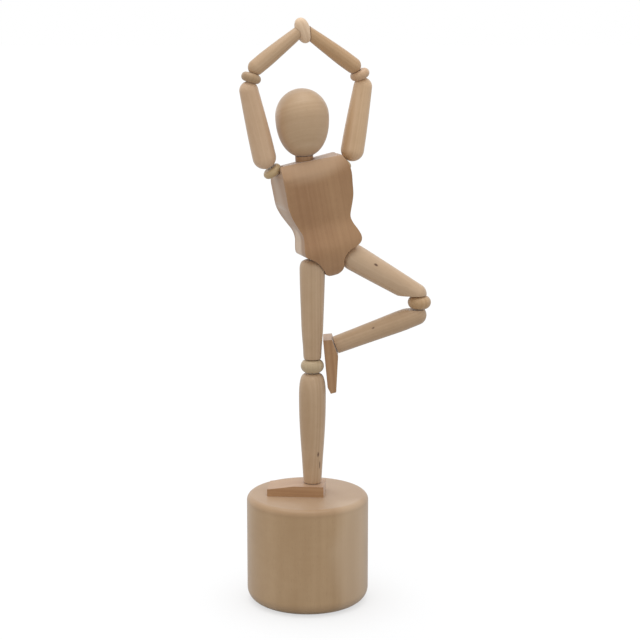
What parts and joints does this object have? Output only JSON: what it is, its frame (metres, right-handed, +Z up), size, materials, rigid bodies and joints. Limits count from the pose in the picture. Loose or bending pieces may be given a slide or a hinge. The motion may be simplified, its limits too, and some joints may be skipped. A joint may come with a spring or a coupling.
{
  "type": "thumb push puppet",
  "caption": "Jointed wooden figure balanced on one leg on a turned base, strung on cords so that pressing the button under the base makes it collapse and releasing it makes it stand.",
  "frame": {"origin": "centre of the base's underside, on the surface it stands on", "axes": "+Z up; -Y is the side the picture was taken from; the standing leg is on the -X side, the raised knee on the +X side"},
  "size_m": [0.0705, 0.046, 0.2199],
  "materials": {
    "beech": "sanded bare wood",
    "beech_dark": "sanded bare wood, browner",
    "beech_pale": "sanded bare wood, paler",
    "cord": "waxed cotton cord",
    "spring_steel": "drawn steel wire"
  },
  "bodies": {
    "stand": {"base": "beech", "standing_foot": "beech_dark", "standing_foot_cords": "cord"},
    "button": {"push_button": "beech_pale", "button_spring": "spring_steel", "cord_knot": "cord", "chamber_cords": "cord"},
    "standing_shin": {"standing_shin": "beech", "standing_shin_cords": "cord"},
    "standing_knee": {"standing_knee_bead": "beech_pale", "standing_knee_cords": "cord"},
    "standing_thigh": {"standing_thigh": "beech", "standing_thigh_cords": "cord"},
    "torso": {"torso": "beech_dark", "torso_cords": "cord"},
    "neck": {"neck": "beech", "neck_cord": "cord"},
    "head": {"head": "beech", "head_cord": "cord"},
    "right_shoulder": {"right_shoulder_bead": "beech_pale", "right_shoulder_cord": "cord"},
    "right_upper_arm": {"right_upper_arm": "beech", "right_upper_arm_cord": "cord"},
    "right_elbow": {"right_elbow_bead": "beech", "right_elbow_cord": "cord"},
    "right_forearm": {"right_forearm": "beech", "right_forearm_cord": "cord"},
    "hand": {"hand_bead": "beech_pale", "hand_cords": "cord"},
    "left_shoulder": {"left_shoulder_bead": "beech_pale", "left_shoulder_cord": "cord"},
    "left_upper_arm": {"left_upper_arm": "beech", "left_upper_arm_cord": "cord"},
    "left_elbow": {"left_elbow_bead": "beech", "left_elbow_cord": "cord"},
    "left_forearm": {"left_forearm": "beech", "left_forearm_cord": "cord"},
    "raised_thigh": {"raised_thigh": "beech", "raised_thigh_cord": "cord"},
    "raised_knee": {"raised_knee_bead": "beech", "raised_knee_cord": "cord"},
    "raised_shin": {"raised_shin": "beech", "raised_shin_cord": "cord"},
    "raised_foot": {"raised_foot": "beech_dark", "raised_foot_cord": "cord"}
  },
  "joints": [
    {"name": "button_press", "type": "slide", "parent": "stand", "child": "button", "axis": [0, 0, 1], "range_m": [0, 0.008], "stiffness_N_per_m": 600, "springref_m": -0.006, "deforming": ["button_spring", "chamber_cords"]},
    {"name": "standing_ankle", "type": "hinge", "parent": "stand", "child": "standing_shin", "pos_m": [-0.0015, 0.0008, 0.04575], "axis": [0, -1, 0], "range_deg": [0, 18]},
    {"name": "standing_knee_bead_roll", "type": "hinge", "parent": "standing_shin", "child": "standing_knee", "pos_m": [0.0036, 0.0008, 0.0883], "axis": [0, 1, 0], "range_deg": [0, 24]},
    {"name": "standing_knee_joint", "type": "hinge", "parent": "standing_shin", "child": "standing_thigh", "pos_m": [0.00418, 0.0008, 0.09102], "axis": [0, 1, 0], "range_deg": [0, 48]},
    {"name": "standing_hip", "type": "hinge", "parent": "standing_thigh", "child": "torso", "pos_m": [-0.00097, 0.0008, 0.13115], "axis": [0, -1, 0], "range_deg": [0, 34]},
    {"name": "neck_tilt", "type": "hinge", "parent": "torso", "child": "neck", "pos_m": [0.00015, -0.00333, 0.16778], "axis": [0.9397, 0.342, 0], "range_deg": [0, 8]},
    {"name": "head_joint", "type": "hinge", "parent": "torso", "child": "head", "pos_m": [0.00012, -0.00346, 0.16934], "axis": [0.9397, 0.342, 0], "range_deg": [0, 22]},
    {"name": "right_shoulder_roll", "type": "hinge", "parent": "torso", "child": "right_shoulder", "pos_m": [-0.01102, -0.00617, 0.16366], "axis": [0.9368, 0.341, 0.0786], "range_deg": [0, 8]},
    {"name": "right_arm_joint", "type": "hinge", "parent": "torso", "child": "right_upper_arm", "pos_m": [-0.01338, -0.00571, 0.16847], "axis": [0.9378, 0.3435, 0.0498], "range_deg": [0, 30]},
    {"name": "right_elbow_roll", "type": "hinge", "parent": "right_upper_arm", "child": "right_elbow", "pos_m": [-0.02081, -0.00745, 0.19427], "axis": [0.9397, 0.342, 0.0015], "range_deg": [0, 14]},
    {"name": "right_forearm_joint", "type": "hinge", "parent": "right_upper_arm", "child": "right_forearm", "pos_m": [-0.01931, -0.00754, 0.19914], "axis": [0.9394, 0.3427, -0.0048], "range_deg": [0, 34]},
    {"name": "hand_joint", "type": "hinge", "parent": "right_forearm", "child": "hand", "pos_m": [-0.00142, -0.00039, 0.21595], "axis": [0.9397, 0.342, 0], "range_deg": [0, 10]},
    {"name": "left_shoulder_roll", "type": "hinge", "parent": "torso", "child": "left_shoulder", "pos_m": [0.01288, 0.00253, 0.16567], "axis": [0.9368, 0.341, 0.0786], "range_deg": [0, 8]},
    {"name": "left_arm_joint", "type": "hinge", "parent": "torso", "child": "left_upper_arm", "pos_m": [0.01461, 0.00455, 0.16996], "axis": [0.9378, 0.3435, 0.0498], "range_deg": [0, 30]},
    {"name": "left_elbow_roll", "type": "hinge", "parent": "left_upper_arm", "child": "left_elbow", "pos_m": [0.02037, 0.00754, 0.19434], "axis": [0.9397, 0.342, 0.0015], "range_deg": [0, 14]},
    {"name": "left_forearm_joint", "type": "hinge", "parent": "left_upper_arm", "child": "left_forearm", "pos_m": [0.01877, 0.00636, 0.19891], "axis": [0.9394, 0.3427, -0.0047], "range_deg": [0, 33.6]},
    {"name": "raised_hip_joint", "type": "hinge", "parent": "torso", "child": "raised_thigh", "pos_m": [0.01745, 0.0052, 0.13122], "axis": [0, 1, 0], "range_deg": [0, 22]},
    {"name": "raised_knee_bead_roll", "type": "hinge", "parent": "raised_thigh", "child": "raised_knee", "pos_m": [0.04358, 0.0052, 0.11679], "axis": [0, -1, 0], "range_deg": [0, 18]},
    {"name": "raised_knee_joint", "type": "hinge", "parent": "raised_thigh", "child": "raised_shin", "pos_m": [0.0441, 0.0052, 0.1135], "axis": [0, -1, 0], "range_deg": [0, 52]},
    {"name": "raised_ankle_joint", "type": "hinge", "parent": "raised_shin", "child": "raised_foot", "pos_m": [0.00944, 0.0052, 0.10103], "axis": [0, 1, 0], "range_deg": [0, 14]}
  ],
  "couplings": [
    {"joint": "standing_ankle", "follows": "button_press", "rad_per_m": 39.266},
    {"joint": "standing_knee_bead_roll", "follows": "button_press", "rad_per_m": 52.355},
    {"joint": "standing_knee_joint", "follows": "button_press", "rad_per_m": 104.71},
    {"joint": "standing_hip", "follows": "button_press", "rad_per_m": 74.169},
    {"joint": "neck_tilt", "follows": "button_press", "rad_per_m": 17.452},
    {"joint": "head_joint", "follows": "button_press", "rad_per_m": 47.992},
    {"joint": "right_shoulder_roll", "follows": "button_press", "rad_per_m": 17.452},
    {"joint": "right_arm_joint", "follows": "button_press", "rad_per_m": 65.443},
    {"joint": "right_elbow_roll", "follows": "button_press", "rad_per_m": 30.54},
    {"joint": "right_forearm_joint", "follows": "button_press", "rad_per_m": 74.169},
    {"joint": "hand_joint", "follows": "button_press", "rad_per_m": 21.814},
    {"joint": "left_shoulder_roll", "follows": "button_press", "rad_per_m": 17.452},
    {"joint": "left_arm_joint", "follows": "button_press", "rad_per_m": 65.443},
    {"joint": "left_elbow_roll", "follows": "button_press", "rad_per_m": 30.54},
    {"joint": "left_forearm_joint", "follows": "button_press", "rad_per_m": 73.296},
    {"joint": "raised_hip_joint", "follows": "button_press", "rad_per_m": 47.992},
    {"joint": "raised_knee_bead_roll", "follows": "button_press", "rad_per_m": 39.266},
    {"joint": "raised_knee_joint", "follows": "button_press", "rad_per_m": 113.44},
    {"joint": "raised_ankle_joint", "follows": "button_press", "rad_per_m": 30.54}
  ]
}
